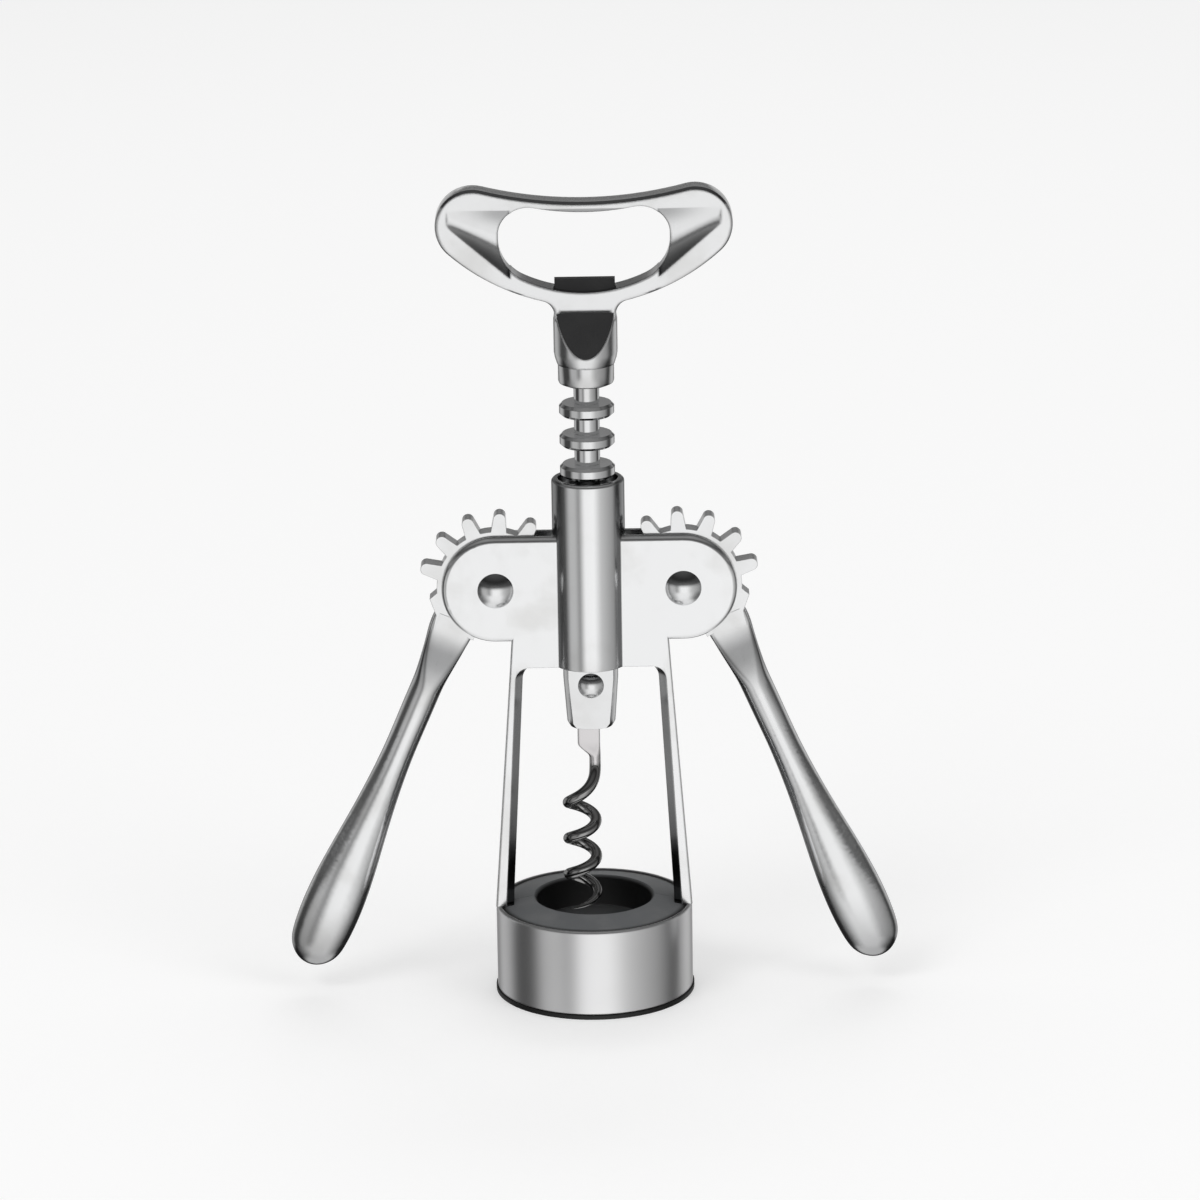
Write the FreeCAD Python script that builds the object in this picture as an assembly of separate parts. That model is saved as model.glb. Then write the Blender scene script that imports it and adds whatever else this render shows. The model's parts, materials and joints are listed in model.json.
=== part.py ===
import FreeCAD, Part
import math
import os

from FreeCAD import Vector

# Wing corkscrew. Two geared levers lift a ringed rack spindle through a cast yoke.
# Millimetres. +Z is up, the front faces -Y, and the origin is the centre of the underside.

# ---- fits
run_gap = 0.08  # radial clearance of a turning fit
seat_gap = 0.05  # clearance between pieces that are fixed together
press_gap = 0.02  # radial clearance of a pressed or pinned shaft

# ---- base: steel band around a plastic bottle guide made in two halves
band_radius = 21.0
band_wall = 0.8
band_bottom = 1.0
band_top = 19.5
band_edge_radius = 0.5
guide_rim_radius = 21.3
guide_edge_height = 19.3
guide_crown_height = 20.7
guide_edge_chamfer = 0.5
throat_radius = 12.3
throat_edge_radius = 0.6
socket_radius = 15.0
socket_depth = 14.0
seam_gap = 0.1

# ---- yoke: barrel, two eared plates and two legs in one casting
slab_half_depth = 3.9
ear_radius = 11.4
ear_edge_radius = 1.2
barrel_wall = 1.3
bore_clearance = 0.6  # round the rings, in the barrel's bore
barrel_top = 113.5
barrel_rim_radius = 0.7
window_top = 72.9
window_corner_radius = 3.0
window_half_width_top = 14.25
leg_thickness_top = 2.75
leg_thickness_bottom = 3.8
leg_edge_radius = 0.5
leg_flank_width = 1.6
leg_flank_depth = 2.6
foot_half_depth = 3.4
foot_depth = 13.0

# ---- drive: levers, gears and rack
pivot_x = 19.8
pivot_z = 90.0
gear_teeth = 14
rack_pitch_line = 5.1
tooth_first_angle = -45.0
tooth_last_angle = 170.0
tooth_tip_clearance = 0.7
tooth_root_clearance = 1.6
tooth_root_half_width = 1.75
tooth_tip_radius = 1.3
gear_half_thickness = 2.0
gear_side_clearance = 0.2
gear_sweep_clearance = 0.4
gear_heel_radius = 10.5

# ---- rack spindle
ring_radius = 5.8
ring_thickness = 2.7
ring_chamfer = 0.6
ring_count = 9
top_ring_height = 128.5
shaft_radius = 2.7
shaft_top = 144.0
holder_radius = 5.85
holder_flat = 3.4
holder_bottom = 58.9
holder_top = 72.3
holder_taper_top = 70.0
holder_tip_radius = 5.15
holder_edge_radius = 0.9

# ---- levers
arm_angle = 23.5  # from straight down, at rest
arm_offset = 5.1  # how far the arm's middle line passes outside the pivot
arm_length = 93.6
arm_start = 9.5
arm_neck_width = 6.6
arm_root_flare = 2.6  # how much wider the arm is where it leaves the gear
arm_paddle_width = 12.1
arm_neck_end = 40.0
arm_paddle_at = 80.0
arm_root_thickness = 3.6
arm_neck_thickness = 7.0
arm_paddle_thickness = 8.4
arm_root_end = 26.0
arm_tip_length = 7.5  # the stretch over which the paddle's end rounds off
beak_radius = 14.1
beak_drop = 17.0  # degrees from the last tooth to the beak's point

# ---- rivets and the worm's pin
rivet_radius = 2.4
rivet_head_radius = 3.8
rivet_head_height = 1.7
worm_pin_height = 68.6
worm_pin_radius = 1.2
worm_pin_head_radius = 2.75
worm_pin_head_height = 1.3

# ---- collar under the hub
collar_radius = 5.9
collar_bottom = 133.9
collar_top = 138.3
collar_chamfer = 0.9

# ---- handle: hub and looped grip in one casting
hub_radius = 6.7
hub_tip_radius = 6.05
hub_bottom = 138.35
hub_taper_height = 2.6
hub_shoulder = 148.0
hub_top = 152.0
hub_top_radius = 2.8
grip_half_thickness = 3.0
grip_edge_radius = 0.7
neck_half_width = 6.45
neck_fillet_radius = 3.0
grip_saddle_height = 173.2
lobe_x = 23.1
lobe_z = 168.3
lobe_radius = 7.8
underside_radius = 45.0
underside_angle = -48.0
eye_floor = 154.0
eye_ceiling = 171.2
eye_half_width = 17.85
eye_top_corner_radius = 6.2
eye_top_corner_z = 166.1
eye_low_corner_radius = 9.0
eye_low_corner_z = 165.0
scoop_top = 171.9
scoop_depth = 2.1
scoop_inner_x = 15.5
scoop_inner_low = 157.2
scoop_outer_x = 28.4
scoop_outer_low = 168.3

# ---- cap lifter: leaning plate set in the hub and standing up in the grip's eye
lifter_low = 140.6
lifter_high = 149.6
lifter_thickness = 1.8
lifter_neck_half_width = 5.4
lifter_tab_half_width = 6.3
lifter_tab_low = 153.0
lifter_tab_top = 156.4

# ---- worm
wire_radius = 1.22
coil_radius = 2.93
coil_axis_x = -2.3
coil_pitch = 8.05
coil_start = 45.6
coil_end = 18.4
bend_swell = 0.05  # the wire is a little thicker where it bends out of the stem
stem_top = 55.0
blade_left = -3.0
blade_right = 1.75
blade_bottom = 53.2
blade_top = 71.8
blade_thickness = 1.3
blade_corner_radius = 1.2
point_bevel = 27.0  # degrees between the wire and its bevelled point

# ---- sizes that follow from those above
pitch_radius = pivot_x - rack_pitch_line
ring_pitch = 2 * math.pi * pitch_radius / gear_teeth
gear_tip_radius = pivot_x - shaft_radius - tooth_tip_clearance
gear_root_radius = pivot_x - ring_radius - tooth_root_clearance
bore_radius = ring_radius + bore_clearance
barrel_radius = bore_radius + barrel_wall
slot_half_width = gear_half_thickness + gear_side_clearance
slot_radius = gear_tip_radius + gear_sweep_clearance
ear_bottom = pivot_z - ear_radius
foot_top = band_top + seat_gap
foot_bottom = foot_top - foot_depth
leg_outer_bottom = band_radius
leg_outer_top = window_half_width_top + leg_thickness_top - 0.4
window_half_width_bottom = leg_outer_bottom - leg_thickness_bottom
guide_body_radius = band_radius - band_wall - seat_gap
lifter_lean = math.degrees(math.atan2(hub_radius - grip_half_thickness, lifter_high - lifter_low))

ORIGIN = Vector(0, 0, 0)
X_AXIS = Vector(1, 0, 0)
Y_AXIS = Vector(0, 1, 0)
Z_AXIS = Vector(0, 0, 1)


# ---- helpers for outlines in the XZ plane


def line(x0, z0, x1, z1):
    return Part.makeLine(Vector(x0, 0, z0), Vector(x1, 0, z1))


def on_circle(x, z, radius, degrees):
    angle = math.radians(degrees)
    return Vector(x + radius * math.cos(angle), 0, z + radius * math.sin(angle))


def arc(x, z, radius, start, end):
    """An arc about (x, z) from one angle to another, in degrees from +X towards +Z."""
    middle = (start + end) / 2
    points = [on_circle(x, z, radius, degrees) for degrees in (start, middle, end)]
    return Part.Arc(*points).toShape()


def polygon(points):
    """A closed straight-sided wire through (x, z) points."""
    vectors = [Vector(x, 0, z) for x, z in points]
    return Part.makePolygon(vectors + vectors[:1])


def mirrored(shape):
    return shape.mirror(ORIGIN, X_AXIS)


def closed_wire(edges):
    return Part.Wire(Part.sortEdges(edges)[0])


def symmetric_wire(half):
    """A closed wire from the edges of its right half."""
    return closed_wire(half + [mirrored(edge) for edge in half])


def plate(wire, half_depth):
    """The plate that a wire in the XZ plane bounds, from -half_depth to half_depth in Y."""
    face = Part.Face(wire)
    face.translate(Vector(0, -half_depth, 0))
    return face.extrude(Vector(0, 2 * half_depth, 0))


def turned(points):
    """A solid of revolution about Z from (radius, height) points."""
    return Part.Face(polygon(points)).revolve(ORIGIN, Z_AXIS, 360)


def cross_pin(x, z, radius, half_length):
    """A cylinder along Y."""
    start = Vector(x, -half_length, z)
    return Part.makeCylinder(radius, 2 * half_length, start, Y_AXIS)


def box(x0, x1, y0, y1, z0, z1):
    return Part.makeBox(x1 - x0, y1 - y0, z1 - z0, Vector(x0, y0, z0))


def circle_angle(x0, z0, x1, z1):
    """The direction from one point to another, in degrees."""
    return math.degrees(math.atan2(z1 - z0, x1 - x0))


# ---- base


def base_band():
    outer = Part.makeCylinder(band_radius, band_top - band_bottom, Vector(0, 0, band_bottom))
    rims = [edge for edge in outer.Edges if abs(edge.CenterOfMass.z - band_top) < 0.01]
    outer = outer.makeFillet(band_edge_radius, rims)
    inner_radius = band_radius - band_wall
    return outer.cut(Part.makeCylinder(inner_radius, band_top, Vector(0, 0, 0)))


def guide_ring():
    """The whole bottle guide, before its two halves are parted."""
    crown_radius = throat_radius + throat_edge_radius
    ring = turned(
        [
            (socket_radius, 0),
            (guide_rim_radius, 0),
            (guide_rim_radius, band_bottom - seat_gap),
            (guide_body_radius, band_bottom - seat_gap),
            (guide_body_radius, guide_edge_height - guide_edge_chamfer),
            (guide_body_radius - guide_edge_chamfer, guide_edge_height),
            (crown_radius, guide_crown_height),
            (throat_radius, guide_crown_height - throat_edge_radius),
            (throat_radius, socket_depth),
            (socket_radius, socket_depth),
        ]
    )
    for side in (1, -1):
        ring = ring.cut(foot_block(side, seat_gap))
    return ring


def foot_block(side, grow):
    """The block of a leg's foot inside the band, grown on its hidden faces."""
    block = box(
        window_half_width_bottom - grow,
        band_radius,
        -foot_half_depth - grow,
        foot_half_depth + grow,
        foot_bottom - grow,
        guide_crown_height if grow else foot_top,
    )
    if not grow:
        block = block.common(Part.makeCylinder(guide_body_radius, foot_top))
    return block if side > 0 else mirrored(block)


def guide_half(side):
    """side is -1 for the front half and 1 for the rear half."""
    reach = guide_rim_radius + 1
    y_range = (seam_gap / 2, reach) if side > 0 else (-reach, -seam_gap / 2)
    keep = box(-reach, reach, y_range[0], y_range[1], -1, guide_crown_height + 1)
    return guide_ring().common(keep)


# ---- yoke


def yoke_outline():
    """Ears and legs as one flat outline, from the top centre clockwise to the window."""
    ear_top = pivot_z + ear_radius
    fillet_z = window_top - window_corner_radius
    slope = (window_half_width_bottom - window_half_width_top) / (window_top - foot_top)
    side_x = window_half_width_top + slope * window_corner_radius
    corner_x = side_x - window_corner_radius
    half = [
        line(0, ear_top, pivot_x, ear_top),
        arc(pivot_x, pivot_z, ear_radius, 90, -90),
        line(pivot_x, ear_bottom, leg_outer_top, ear_bottom),
        line(leg_outer_top, ear_bottom, leg_outer_bottom, foot_top),
        line(leg_outer_bottom, foot_top, window_half_width_bottom, foot_top),
        line(window_half_width_bottom, foot_top, side_x, fillet_z),
        arc(corner_x, fillet_z, window_corner_radius, 0, 90),
        line(corner_x, window_top, 0, window_top),
    ]
    return symmetric_wire(half)


def window_wire(y, widen):
    """The window's outline at a depth, widened sideways for its sloped flanks."""
    slope = (window_half_width_bottom - window_half_width_top) / (window_top - foot_top)
    radius = window_corner_radius
    fillet_z = window_top - radius
    side_x = window_half_width_top + slope * radius + widen
    low_x = window_half_width_bottom + slope + widen
    half = [
        line(0, window_top, side_x - radius, window_top),
        arc(side_x - radius, fillet_z, radius, 90, 0),
        line(side_x, fillet_z, low_x, foot_top - 1),
        line(low_x, foot_top - 1, 0, foot_top - 1),
    ]
    wire = symmetric_wire(half)
    wire.translate(Vector(0, y, 0))
    return wire


def window_flanks(side):
    """The wedge that slopes the window's side walls, on the front (-1) or the rear (1)."""
    deep = window_wire(side * (slab_half_depth - leg_flank_depth), 0)
    face = window_wire(side * slab_half_depth, leg_flank_width)
    return Part.makeLoft([deep, face], True, True)


def is_ear_edge(edge):
    centre = edge.CenterOfMass
    outside = abs(centre.y) > slab_half_depth - 0.01
    return outside and centre.z > ear_bottom - 0.01


def is_leg_outer_edge(edge):
    centre = edge.CenterOfMass
    outside = abs(centre.y) > slab_half_depth - 0.01
    low = foot_top + 1 < centre.z < ear_bottom
    return outside and low and abs(centre.x) > (leg_outer_top + leg_outer_bottom) / 2 - 0.01


def yoke():
    slab = plate(yoke_outline(), slab_half_depth)
    slab = slab.makeFillet(ear_edge_radius, [e for e in slab.Edges if is_ear_edge(e)])
    slab = slab.makeFillet(leg_edge_radius, [e for e in slab.Edges if is_leg_outer_edge(e)])
    for side in (-1, 1):
        slab = slab.cut(window_flanks(side))
    barrel = Part.makeCylinder(barrel_radius, barrel_top - window_top, Vector(0, 0, window_top))
    rims = [edge for edge in barrel.Edges if abs(edge.CenterOfMass.z - barrel_top) < 0.01]
    casting = slab.fuse(barrel.makeFillet(barrel_rim_radius, rims))
    for side in (-1, 1):
        casting = casting.fuse(foot_block(side, 0))
        casting = casting.cut(cross_pin(side * pivot_x, pivot_z, slot_radius, slot_half_width))
        hole_radius = rivet_radius + press_gap
        casting = casting.cut(cross_pin(side * pivot_x, pivot_z, hole_radius, barrel_radius))
    bore = Part.makeCylinder(bore_radius, barrel_top, ORIGIN)
    return casting.cut(bore).removeSplitter()


# ---- levers


def tooth_angles():
    """Full teeth of the left gear, in degrees from the side that faces the rack.

    A ring of the rack stands in the middle of a tooth space.
    """
    step = 360 / gear_teeth
    rings_down = round((top_ring_height - pivot_z) / ring_pitch)
    ring_height = top_ring_height - rings_down * ring_pitch
    space = math.degrees((ring_height - pivot_z) / pitch_radius)
    angles = [space + (turn + 0.5) * step for turn in range(-gear_teeth, gear_teeth)]
    return [angle for angle in angles if tooth_first_angle < angle < tooth_last_angle]


def tooth(angle):
    """One round-tipped tooth of the left gear, at an angle about its pivot."""
    base = gear_root_radius - 1
    crest = gear_tip_radius - tooth_tip_radius
    foot = tooth_root_half_width
    edges = [
        line(base, -foot, crest, -tooth_tip_radius),
        arc(crest, 0, tooth_tip_radius, -90, 90),
        line(crest, tooth_tip_radius, base, foot),
        line(base, foot, base, -foot),
    ]
    shape = plate(closed_wire(edges), gear_half_thickness)
    shape.rotate(ORIGIN, Y_AXIS, -angle)
    return shape


def gear_blank(angles):
    """The sector under the teeth, with a smaller heel where there are none."""
    heel = cross_pin(0, 0, gear_heel_radius, gear_half_thickness)
    margin = 0.35 * 360 / gear_teeth
    start = angles[0] - margin
    end = arm_axis_angle()
    edges = [
        Part.makeLine(ORIGIN, on_circle(0, 0, gear_root_radius, start)),
        arc(0, 0, gear_root_radius, start, end),
        Part.makeLine(on_circle(0, 0, gear_root_radius, end), ORIGIN),
    ]
    return heel.fuse(plate(closed_wire(edges), gear_half_thickness))


def arm_axis_angle():
    """The left arm's direction, in degrees, measured as the teeth are."""
    return 270 - arm_angle


def arm_point(along, outboard):
    """(x, z) of a point beside the left arm's line through its pivot."""
    axis = math.radians(arm_axis_angle())
    x = along * math.cos(axis) + outboard * math.sin(axis)
    z = along * math.sin(axis) - outboard * math.cos(axis)
    return x, z


def beak(angles):
    """The pointed spur past the last tooth, and the web that joins the gear to the arm."""
    point = on_circle(0, 0, beak_radius, angles[-1] + 360 / gear_teeth)
    heel = on_circle(0, 0, gear_root_radius - 1, angles[-1] + beak_drop)
    half = arm_neck_width / 2
    outline = [
        (heel.x, heel.z),
        (point.x, point.z),
        arm_point(10.3, arm_offset + half + 0.9),
        arm_point(13.5, arm_offset + half + 0.35),
        arm_point(15.5, arm_offset + half - 0.6),
        arm_point(15.5, arm_offset - half + 0.6),
        arm_point(13.8, arm_offset - half + 0.9),
        arm_point(11.6, arm_offset - half + 2.0),
        (0, 0),
    ]
    return plate(polygon(outline), gear_half_thickness)


def smooth_step(value, start, end):
    """0 before start, 1 after end, and an even S between them."""
    share = min(max((value - start) / (end - start), 0), 1)
    return share * share * (3 - 2 * share)


def arm_section(along):
    """Width and thickness of the arm at a distance from its pivot."""
    swell = smooth_step(along, arm_neck_end, arm_paddle_at)
    width = arm_neck_width + (arm_paddle_width - arm_neck_width) * swell
    thickness = arm_neck_thickness + (arm_paddle_thickness - arm_neck_thickness) * swell
    root = smooth_step(along, arm_start, arm_root_end)
    width += arm_root_flare * (1 - root)
    thickness = arm_root_thickness + (thickness - arm_root_thickness) * root
    tip_start = arm_length - arm_tip_length
    if along > tip_start:
        reach = (along - tip_start) / arm_tip_length
        fall = math.sqrt(max(1 - reach**2, 0))
        width *= fall
        thickness *= fall
    return width, thickness


def oval(width, thickness):
    """An ellipse in the XY plane that always starts on +X."""
    stretch = FreeCAD.Matrix()
    stretch.scale(width / 2, thickness / 2, 1)
    return Part.Wire(Part.makeCircle(1)).transformGeometry(stretch)


def arm():
    """The left arm, lofted through ovals from its flat root to its round end."""
    stations = []
    turns = [arm_start, arm_root_end, arm_neck_end, arm_paddle_at]
    for low, high in zip(turns, turns[1:]):
        stations += [low + share * (high - low) for share in (0, 0.5)]
    tip_start = arm_length - arm_tip_length
    for degrees in (0, 30, 55, 78):
        stations.append(tip_start + arm_tip_length * math.sin(math.radians(degrees)))
    wires = []
    for along in stations:
        wire = oval(*arm_section(along))
        wire.rotate(ORIGIN, Y_AXIS, -(arm_axis_angle() - 90))
        x, z = arm_point(along, arm_offset)
        wire.translate(Vector(x, 0, z))
        wires.append(wire)
    return Part.makeLoft(wires, True, False)


def lever(side):
    """side is -1 for the left lever and 1 for the right one."""
    angles = tooth_angles()
    shape = gear_blank(angles).fuse([tooth(angle) for angle in angles])
    shape = shape.fuse([beak(angles), arm()])
    shape = shape.cut(cross_pin(0, 0, rivet_radius + run_gap, arm_neck_thickness))
    shape = shape.removeSplitter()
    shape.translate(Vector(-pivot_x, 0, pivot_z))
    return mirrored(shape) if side > 0 else shape


def domed_pin(x, z, radius, half_span, head_radius, head_height):
    """A shaft along Y with a domed head at each end."""
    dome_radius = (head_radius**2 + head_height**2) / (2 * head_height)
    pin = cross_pin(x, z, radius, half_span)
    for side in (-1, 1):
        centre_y = side * (half_span + head_height - dome_radius)
        dome = Part.makeSphere(dome_radius, Vector(x, centre_y, z))
        start = Vector(x, side * half_span, z)
        keep = Part.makeCylinder(head_radius, head_height, start, Vector(0, side, 0))
        pin = pin.fuse(dome.common(keep))
    return pin.removeSplitter()


def pivot(side):
    return domed_pin(
        side * pivot_x, pivot_z, rivet_radius, slab_half_depth, rivet_head_radius, rivet_head_height
    )


# ---- rack spindle, worm and its pin


def rack_profile():
    """Half section of the spindle, from the holder's tip to the top of the shaft."""
    bevel = holder_edge_radius
    points = [
        (0, holder_bottom),
        (holder_tip_radius - 2 * bevel, holder_bottom),
        (holder_tip_radius - 0.6 * bevel, holder_bottom + 0.3 * bevel),
        (holder_tip_radius, holder_bottom + 1.4 * bevel),
        (holder_radius, holder_taper_top),
        (holder_radius, holder_top),
        (shaft_radius, holder_top),
    ]
    for index in reversed(range(ring_count)):
        middle = top_ring_height - index * ring_pitch
        low = middle - ring_thickness / 2
        high = middle + ring_thickness / 2
        points += [
            (shaft_radius, low),
            (ring_radius - ring_chamfer, low),
            (ring_radius, low + ring_chamfer),
            (ring_radius, high - ring_chamfer),
            (ring_radius - ring_chamfer, high),
            (shaft_radius, high),
        ]
    return points + [(shaft_radius, shaft_top), (0, shaft_top)]


def rack_spindle():
    spindle = turned(rack_profile())
    reach = holder_radius + 1
    for side in (-1, 1):
        flat = box(-reach, reach, holder_flat, reach, holder_bottom - 1, holder_top)
        if side < 0:
            flat = flat.mirror(ORIGIN, Y_AXIS)
        spindle = spindle.cut(flat)
    slot = box(
        blade_left - seat_gap,
        blade_right + seat_gap,
        -blade_thickness / 2 - seat_gap,
        blade_thickness / 2 + seat_gap,
        holder_bottom - 1,
        blade_top + seat_gap,
    )
    return spindle.cut(slot).cut(cross_pin(0, worm_pin_height, worm_pin_radius + press_gap, reach))


def worm_pin():
    return domed_pin(
        0, worm_pin_height, worm_pin_radius, holder_flat, worm_pin_head_radius, worm_pin_head_height
    )


def coil():
    """The right-handed coil, hanging from its stem on the +X side of the coil's axis."""
    height = coil_start - coil_end
    turns = height / coil_pitch
    rise = Vector(0, 2 * math.pi * coil_radius, coil_pitch)
    wire_face = Part.Circle(Vector(coil_radius, 0, 0), rise, wire_radius).toShape()
    helix = Part.Wire(Part.makeHelix(coil_pitch, height, coil_radius))
    shape = helix.makePipeShell([Part.Wire(wire_face)], True, True)
    shape.rotate(ORIGIN, Z_AXIS, -360 * turns)
    shape.translate(Vector(coil_axis_x, 0, coil_end))
    return shape


def point_cutter():
    """A block whose face bevels the coil's lower end to a point."""
    angle = -2 * math.pi * (coil_start - coil_end) / coil_pitch
    outward = Vector(math.cos(angle), math.sin(angle), 0)
    end = Vector(coil_axis_x, 0, coil_end) + outward * coil_radius
    along = Vector(-outward.y, outward.x, coil_pitch / (2 * math.pi * coil_radius)).normalize()
    bevel = math.radians(point_bevel)
    facing = outward * math.cos(bevel) - along * math.sin(bevel)
    tip = end - outward * 0.8 * wire_radius
    size = 8 * wire_radius
    cutter = Part.makeBox(size, size, size, Vector(-size / 2, -size / 2, 0))
    cutter.Placement = FreeCAD.Placement(tip, FreeCAD.Rotation(Z_AXIS, facing))
    return cutter


def worm():
    """A flat shank for the spindle's slot, a round stem, and the coil down to its point."""
    stem_x = coil_axis_x + coil_radius
    corner = blade_corner_radius
    blade = closed_wire(
        [
            line(blade_left, blade_top, blade_right, blade_top),
            line(blade_right, blade_top, blade_right, blade_bottom),
            line(blade_right, blade_bottom, blade_left + corner, blade_bottom),
            arc(blade_left + corner, blade_bottom + corner, corner, -90, -180),
            line(blade_left, blade_bottom + corner, blade_left, blade_top),
        ]
    )
    shank = plate(blade, blade_thickness / 2)
    shank = shank.cut(cross_pin(0, worm_pin_height, worm_pin_radius + press_gap, blade_thickness))
    stem_foot = Vector(stem_x, 0, coil_start)
    stem = Part.makeCylinder(wire_radius, stem_top - coil_start, stem_foot)
    bend = Part.makeSphere(wire_radius + bend_swell, stem_foot)
    return stem.fuse(bend).fuse(coil()).fuse(shank).cut(point_cutter())


# ---- collar, handle and cap lifter


def collar():
    bore = shaft_radius + run_gap
    return turned(
        [
            (bore, collar_bottom),
            (collar_radius - collar_chamfer, collar_bottom),
            (collar_radius - 0.25 * collar_chamfer, collar_bottom + 0.4 * collar_chamfer),
            (collar_radius, collar_bottom + collar_chamfer),
            (collar_radius, collar_top),
            (bore, collar_top),
        ]
    )


def grip_outline():
    """The grip's edge: saddle, lobe, long underside and the fillet into the neck."""
    rise = grip_saddle_height - lobe_z
    saddle_radius = (lobe_x**2 + rise**2 - lobe_radius**2) / (2 * (lobe_radius - rise))
    saddle_z = grip_saddle_height + saddle_radius
    to_lobe = circle_angle(0, saddle_z, lobe_x, lobe_z)
    gap = underside_radius - lobe_radius
    under_x = lobe_x - gap * math.cos(math.radians(underside_angle))
    under_z = lobe_z - gap * math.sin(math.radians(underside_angle))
    fillet_x = neck_half_width + neck_fillet_radius
    reach = underside_radius + neck_fillet_radius
    fillet_z = under_z - math.sqrt(reach**2 - (fillet_x - under_x) ** 2)
    to_fillet = circle_angle(under_x, under_z, fillet_x, fillet_z)
    half = [
        arc(0, saddle_z, saddle_radius, -90, to_lobe),
        arc(lobe_x, lobe_z, lobe_radius, to_lobe + 180, underside_angle),
        arc(under_x, under_z, underside_radius, underside_angle, to_fillet),
        arc(fillet_x, fillet_z, neck_fillet_radius, to_fillet + 180, 180),
        line(neck_half_width, fillet_z, neck_half_width, hub_shoulder),
        line(neck_half_width, hub_shoulder, 0, hub_shoulder),
    ]
    return symmetric_wire(half)


def eye_outline():
    """The opening in the grip: sagging ceiling, round corners and a bowed floor."""
    top_x = eye_half_width - eye_top_corner_radius
    low_x = eye_half_width - eye_low_corner_radius
    drop = eye_ceiling - eye_top_corner_z
    ceiling_radius = (top_x**2 + drop**2 - eye_top_corner_radius**2) / (
        2 * (eye_top_corner_radius - drop)
    )
    ceiling_z = eye_ceiling + ceiling_radius
    to_top = circle_angle(0, ceiling_z, top_x, eye_top_corner_z)
    rise = eye_low_corner_z - eye_floor
    floor_radius = (low_x**2 + rise**2 - eye_low_corner_radius**2) / (
        2 * (rise - eye_low_corner_radius)
    )
    floor_z = eye_floor + floor_radius
    to_low = circle_angle(0, floor_z, low_x, eye_low_corner_z)
    half = [
        arc(0, ceiling_z, ceiling_radius, -90, to_top),
        arc(top_x, eye_top_corner_z, eye_top_corner_radius, to_top + 180, 0),
        line(eye_half_width, eye_top_corner_z, eye_half_width, eye_low_corner_z),
        arc(low_x, eye_low_corner_z, eye_low_corner_radius, 0, to_low),
        arc(0, floor_z, floor_radius, to_low, -90),
    ]
    return symmetric_wire(half)


def scoop_wire(x, low, depth):
    """Section of a scoop across the grip's face: a soft top edge and a crisp lower one."""
    face = -grip_half_thickness
    height = scoop_top - low
    curve = Part.BSplineCurve()
    curve.interpolate(
        [
            Vector(x, face, scoop_top),
            Vector(x, face + 0.45 * depth, scoop_top - 0.2 * height),
            Vector(x, face + depth, scoop_top - 0.52 * height),
            Vector(x, face + 0.62 * depth, scoop_top - 0.8 * height),
            Vector(x, face, low),
        ]
    )
    outside = [
        Vector(x, face, low),
        Vector(x, face - 1, low),
        Vector(x, face - 1, scoop_top),
        Vector(x, face, scoop_top),
    ]
    return Part.Wire([curve.toShape()] + Part.makePolygon(outside).Edges)


def scoop():
    """The cutter of a finger scoop that widens and deepens towards the eye."""
    inner = scoop_wire(scoop_inner_x, scoop_inner_low, scoop_depth)
    middle_x = (scoop_inner_x + scoop_outer_x) / 2
    middle = scoop_wire(middle_x, (scoop_inner_low + scoop_outer_low) / 2, 0.62 * scoop_depth)
    outer = scoop_wire(scoop_outer_x, scoop_outer_low, 0.12 * scoop_depth)
    return Part.makeLoft([inner, middle, outer], True, False)


def hub():
    taper = hub_taper_height
    points = [
        (0, hub_bottom),
        (hub_tip_radius, hub_bottom),
        (hub_tip_radius + 0.7 * (hub_radius - hub_tip_radius), hub_bottom + 0.55 * taper),
        (hub_radius, hub_bottom + taper),
        (hub_radius, hub_shoulder),
    ]
    for degrees in (20, 40, 55, 70, 90):
        angle = math.radians(degrees)
        radius = hub_top_radius + (hub_radius - hub_top_radius) * math.cos(angle)
        points.append((radius, hub_shoulder + (hub_top - hub_shoulder) * math.sin(angle)))
    return turned(points + [(0, hub_top)])


def shield_face(radius):
    """The cap lifter's face in the hub: the leaning plane inside a round of this radius."""
    reach = hub_radius + 1
    corners = [
        Vector(-reach, -hub_radius, lifter_low),
        Vector(reach, -hub_radius, lifter_low),
        Vector(reach, -grip_half_thickness, lifter_high),
        Vector(-reach, -grip_half_thickness, lifter_high),
    ]
    face = Part.Face(Part.makePolygon(corners + corners[:1]))
    return face.common(Part.makeCylinder(radius, hub_top, ORIGIN))


def leaning_plate(half_width, low, high, grow):
    """A stretch of the cap lifter above the hub, leaning back as it rises."""
    depth = lifter_thickness / math.cos(math.radians(lifter_lean))
    run = (hub_radius - grip_half_thickness) / (lifter_high - lifter_low)
    y_low = -grip_half_thickness + (low - lifter_high) * run - grow
    y_high = -grip_half_thickness + (high - lifter_high) * run - grow
    corners = [
        Vector(-half_width, y_low, low),
        Vector(half_width, y_low, low),
        Vector(half_width, y_high, high),
        Vector(-half_width, y_high, high),
    ]
    face = Part.Face(Part.makePolygon(corners + corners[:1]))
    return face.extrude(Vector(0, depth + 2 * grow, 0))


def lifter_blank(grow):
    """The plate's whole outline: shield in the hub, narrow neck, and tab in the eye."""
    depth = lifter_thickness / math.cos(math.radians(lifter_lean)) + grow
    shield = shield_face(hub_radius - seat_gap + grow).extrude(Vector(0, depth, 0))
    neck = leaning_plate(lifter_neck_half_width + grow, lifter_high, lifter_tab_low, grow)
    tab = leaning_plate(
        lifter_tab_half_width + grow, lifter_tab_low - grow, lifter_tab_top, grow
    )
    return shield, neck.fuse(tab)


def cap_lifter():
    shield, upper = lifter_blank(0)
    return shield.fuse(upper).removeSplitter()


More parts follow.
